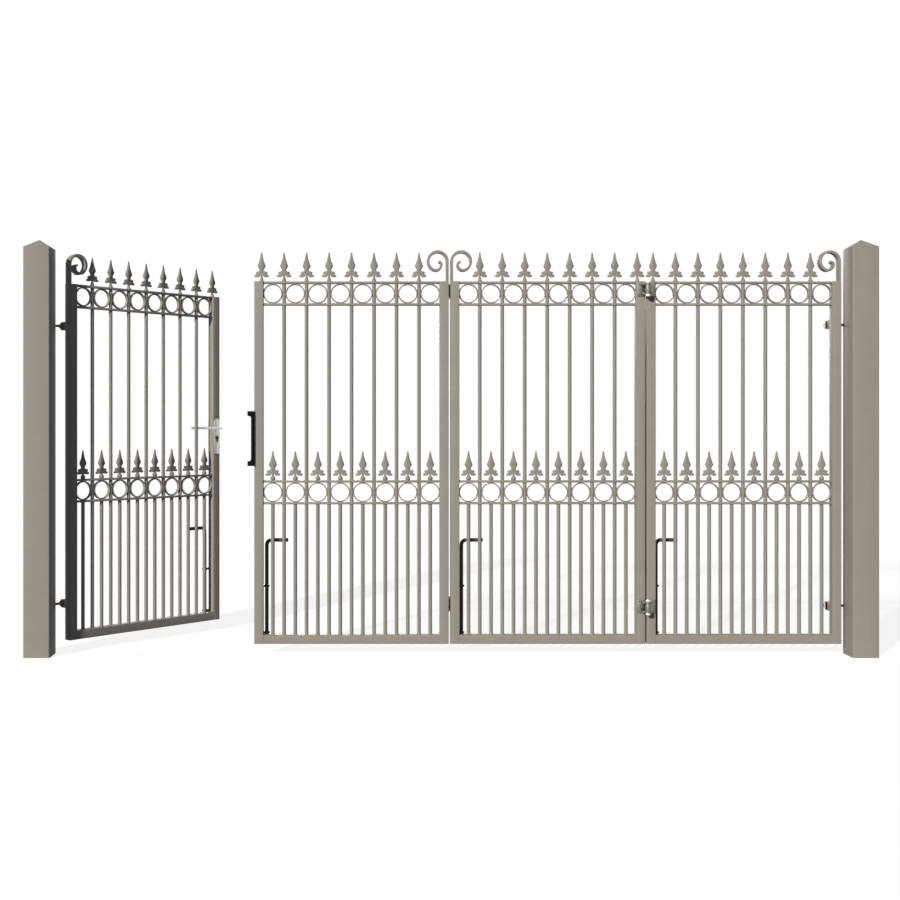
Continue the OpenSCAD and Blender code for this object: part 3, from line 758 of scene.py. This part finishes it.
left_pin = Matrix.Translation((LEFT_PIN_X, PIN_Y, 0))
right_pin = Matrix.Translation((RIGHT_PIN_X, PIN_Y, 0)) @ MIRROR_X
opened = left_pin @ Matrix.Rotation(LEAF_1_OPEN, 4, "Z")
left_reach = -(leaf_place(1).inverted() @ Vector((LEFT_PIN_X, PIN_Y, 0))).x
right_reach = RIGHT_PIN_X - box_mm("leaf_4_right_stile")[1].x
for side, leaf, pin, swung, reach in (("left", "leaf_1", left_pin, opened, left_reach),
                                      ("right", "leaf_4", right_pin, right_pin, right_reach)):
    for name, drawn, place, finish, body, slot, nodes in (
            ("hinge_forks", hinge_bracket(), pin, GALVANISED, "posts", "hinge_steel",
             [f"{side}_hinge_brackets"]),
            ("hinge_pins", hinge_pin(), pin, ZINC, "posts", "zinc", []),
            ("eye_rods", eye_rod(reach), swung, STONE, leaf, "stone_paint", [f"{leaf}_hinge_eyes"]),
            ("rod_nuts", rod_nut(reach), swung, ZINC, leaf, "zinc", [])):
        finish_piece(f"{side}_{name}", at_heights(drawn, place, POST_HINGES), UNMOVED, finish, body, slot,
                     *nodes)


# Fold hinges, drawn with the pin at the origin, the fork's leaf on the -X side and the leaves on the +Y side


def leaf_plate(bm):
    """The plate of a fold hinge on its leaf, with four screws."""
    left = FOLD_GAP / 2 + LEAF_PLATE_INSET
    right = FOLD_GAP / 2 + STILE - LEAF_PLATE_INSET
    high = LEAF_PLATE_H / 2
    block(bm, (left, FOLD_OUT - LEAF_PLATE_T, -high), (right, FOLD_OUT, high))
    for x in (left + SCREW_INSET, right - SCREW_INSET):
        for z in (SCREW_INSET - high, high - SCREW_INSET):
            screw(bm, (x, FOLD_OUT - LEAF_PLATE_T, z), (0, -1, 0))


def fold_fork():
    """A fork of two ears welded to its plate."""
    bm = bmesh.new()
    leaf_plate(bm)
    for z in (-EAR_GAP / 2 - EAR_T, EAR_GAP / 2):
        far = (FOLD_GAP / 2 + EAR_REACH, FOLD_OUT - LEAF_PLATE_T / 2, z + EAR_T)
        block(bm, (0, 0, z), far, radius=1.2)
        rod(bm, (0, 0, z), (0, 0, z + EAR_T), EAR_R, sides=32, chamfer=1.2)
    bmesh.ops.transform(bm, matrix=MIRROR_X, verts=bm.verts)
    return bm


def fold_eye():
    """The eye between the ears, welded to its plate."""
    bm = bmesh.new()
    leaf_plate(bm)
    z = FOLD_EYE_H / 2
    block(bm, (0, 0, -z), (FOLD_GAP / 2 + EAR_REACH, FOLD_OUT - LEAF_PLATE_T / 2, z))
    rod(bm, (0, 0, -z), (0, 0, z), EAR_R, sides=32, chamfer=1.5)
    return bm


def fold_pin():
    """The fold hinge's pin with a nut at each end."""
    bm = bmesh.new()
    rod(bm, (0, 0, -FOLD_PIN_L / 2), (0, 0, FOLD_PIN_L / 2), FOLD_PIN_R, chamfer=2)
    for z in (-EAR_GAP / 2 - EAR_T - FOLD_NUT_H, EAR_GAP / 2 + EAR_T):
        hex_nut(bm, (0, 0, z), (0, 0, z + FOLD_NUT_H), FOLD_NUT_R)
    return bm


front = Matrix.Translation((FRONT_PIN.x, FRONT_PIN.y, 0))
back = Matrix.Translation((BACK_PIN.x, BACK_PIN.y, 0)) @ Matrix.Rotation(math.pi, 4, "Z")
for side, place, eye_leaf in (("front", front, "leaf_4"), ("back", back, "leaf_2")):
    for name, make, finish, body, slot, node in (
            ("fold_ears", fold_fork, GALVANISED, "leaf_3", "hinge_steel", "fold_forks"),
            ("fold_barrels", fold_eye, GALVANISED, eye_leaf, "hinge_steel", "fold_eyes"),
            ("fold_bolts", fold_pin, ZINC, "leaf_3", "zinc", "fold_pins")):
        finish_piece(f"{side}_{name}", at_heights(make(), place, FOLD_HINGES), UNMOVED, finish, body, slot,
                     f"{side}_{node}")


# Lock on the pass leaf


def both_faces(draw):
    """A piece drawn on the street face and mirrored to the back face."""
    bm = bmesh.new()
    draw(bm)
    geometry = bmesh.ops.duplicate(bm, geom=bm.verts[:] + bm.edges[:] + bm.faces[:])["geom"]
    copied = [v for v in geometry if isinstance(v, bmesh.types.BMVert)]
    bmesh.ops.transform(bm, matrix=Matrix.Diagonal((1, -1, 1, 1)), verts=copied)
    return bm


def lock_plate(bm):
    """A long plate with a round head, a spindle rose and screws."""
    r = PLATE_W / 2
    face = -HALF - PLATE_T
    head = arc((LOCK_X, PLATE_HIGH - r), r, 0, 180, 24)
    plate(bm, [(LOCK_X - r, PLATE_LOW), (LOCK_X + r, PLATE_LOW), *head], face, -HALF)
    rod(bm, (LOCK_X, face, LEVER_Z), (LOCK_X, face - ROSE_T, LEVER_Z), ROSE_R, sides=32, chamfer=0.4)
    for z in (PLATE_LOW + PLATE_SCREWS[0], PLATE_HIGH - PLATE_SCREWS[1]):
        screw(bm, (LOCK_X, face, z), (0, -1, 0), radius=4.2, head=1.8)


def key_cylinder(bm):
    """The end of the key cylinder: a round plug over a narrower body."""
    face = -HALF - PLATE_T
    plug = arc((LOCK_X, KEY_Z), KEY_PLUG_R, -57, 237, 28)
    body = arc((LOCK_X, KEY_Z - KEY_BODY_DROP), KEY_BODY_R, 180, 360, 12)
    plate(bm, [*plug, *body], face - KEY_OUT, face + KEY_SINK, edge=0.6)


def lever(bm):
    """A lever: a neck out of the plate, a bend and a grip that thins to a round end."""
    start = -HALF - PLATE_T - LEVER_GAP
    bend = arc((LOCK_X - LEVER_BEND, LEVER_BEND - LEVER_OUT), LEVER_BEND, 0, -90, 10)
    end = LOCK_X - LEVER_L
    neck = [(LOCK_X, start), (LOCK_X, start - LEVER_COLLAR), *bend]
    line = [*neck, *[(end + far, -LEVER_OUT) for far, _ in LEVER_END]]
    radii = [*[LEVER_R] * len(neck), *[r for _, r in LEVER_END]]
    stations = along([Vector((x, y, LEVER_Z)) for x, y in line], radii, depth=Vector((0, 0, 1)))
    loft(bm, stations, sides=20)


def keep():
    """A black C-shaped keep with filleted lugs, on a flange at the stile's side."""
    bm = bmesh.new()
    left, right = KEEP_LOW.x, KEEP_HIGH.x
    low, high = KEEP_LOW.z, KEEP_HIGH.z
    bar = left + KEEP_LUG
    corner = KEEP_LUG_H + KEEP_FILLET
    outline = [(left, low), (right, low), (right, high), (left, high), (left, high - KEEP_LUG_H),
               *arc((bar - KEEP_FILLET, high - corner), KEEP_FILLET, 90, 0, 8),
               *arc((bar - KEEP_FILLET, low + corner), KEEP_FILLET, 0, -90, 8), (left, low + KEEP_LUG_H)]
    plate(bm, outline, KEEP_LOW.y, KEEP_LOW.y + KEEP_T, edge=1.2)
    flange = (right - KEEP_FLANGE, KEEP_LOW.y + KEEP_T - KEEP_SINK, low)
    block(bm, flange, (right, KEEP_HIGH.y, high), radius=0.8)
    return bm


leaf_1 = leaf_place(1)
finish_piece("lock_long_plates", both_faces(lock_plate), leaf_1, SATIN, "leaf_1", "lock_steel", "lock_plates")
finish_piece("lock_key_cylinders", both_faces(key_cylinder), leaf_1, OILED, "leaf_1", "hinge_steel")
finish_piece("lock_levers", both_faces(lever), leaf_1, SATIN, "lever", "lock_steel", "lever_handles")
finish_piece("lock_c_keep", keep(), UNMOVED, BLACK, "leaf_2", "black_paint", "lock_keep")


# Camera at the photograph's view
IMAGE_PX = 900
SENSOR_MM = 36
FOCAL_PX = 1246.4
CENTRE_PX = (361.4, 423.0)
EYE_MM = Vector((1718.2, -6654.0, 1241.7))
camera = bpy.data.objects.new("camera", bpy.data.cameras.new("camera"))
bpy.context.scene.collection.objects.link(camera)
camera.location = EYE_MM / M_TO_MM
camera.rotation_euler = (math.pi / 2, 0, 0)
camera.data.sensor_width = SENSOR_MM
camera.data.lens = SENSOR_MM * FOCAL_PX / IMAGE_PX
camera.data.shift_x = (IMAGE_PX / 2 - CENTRE_PX[0]) / IMAGE_PX
camera.data.shift_y = (CENTRE_PX[1] - IMAGE_PX / 2) / IMAGE_PX
bpy.context.scene.camera = camera


# Light and floor


def sun(name, toward, strength, spread):
    """A soft lamp whose light comes from this direction."""
    lamp = bpy.data.objects.new(name, bpy.data.lights.new(name, "SUN"))
    lamp.data.energy = strength
    lamp.data.angle = math.radians(spread)
    lamp.rotation_euler = Vector(toward).to_track_quat("Z", "Y").to_euler()
    bpy.context.scene.collection.objects.link(lamp)


sun("key", (-0.497, -0.783, 0.375), 3.5, 2)
sun("back_fill", (-0.06, 0.98, 0.2), 1.1, 6)


def camera_side(tree):
    """1 for rays from the camera and its mirror and glass rays, 0 for the light that falls on things."""
    path = add(tree, "ShaderNodeLightPath")
    seen = add(tree, "ShaderNodeMath",
               {0: path.outputs["Is Camera Ray"], 1: path.outputs["Is Glossy Ray"]}, operation="MAXIMUM")
    return add(tree, "ShaderNodeMath",
               {0: seen.outputs[0], 1: path.outputs["Is Transmission Ray"]}, operation="MAXIMUM").outputs[0]


def studio_world():
    """White behind the object, dim cool light on it."""
    world = bpy.data.worlds.new("studio")
    world.use_nodes = True
    tree = world.node_tree
    tree.nodes.clear()
    fill = add(tree, "ShaderNodeBackground", {"Color": linear("ACCEFF"), "Strength": 0.168})
    white = add(tree, "ShaderNodeBackground", {"Color": linear("FFFFFF"), "Strength": 1.0})
    mixed = add(tree, "ShaderNodeMixShader",
                {0: camera_side(tree), 1: fill.outputs[0], 2: white.outputs[0]})
    add(tree, "ShaderNodeOutputWorld", {"Surface": mixed.outputs[0]})
    bpy.context.scene.world = world


FLOOR_HALF_M = 60
FLOOR_GLOW = 0.86


def studio_floor():
    """A pale floor that keeps a light shadow."""
    bm = bmesh.new()
    bmesh.ops.create_grid(bm, x_segments=1, y_segments=1, size=FLOOR_HALF_M)
    mesh = bpy.data.meshes.new("floor")
    bm.to_mesh(mesh)
    bm.free()
    floor = bpy.data.objects.new("floor", mesh)
    bpy.context.scene.collection.objects.link(floor)
    material, tree, shader, _ = blank("pale_floor")
    shader.inputs["Base Color"].default_value = linear("898989")
    shader.inputs["Roughness"].default_value = 1.0
    shader.inputs["Specular IOR Level"].default_value = 0.0
    shader.inputs["Emission Color"].default_value = linear("FFFEFC")
    glow = add(tree, "ShaderNodeMath", {0: camera_side(tree), 1: FLOOR_GLOW}, operation="MULTIPLY")
    tree.links.new(glow.outputs[0], shader.inputs["Emission Strength"])
    mesh.materials.append(material)


studio_world()
studio_floor()
bpy.context.scene.view_settings.view_transform = "Standard"
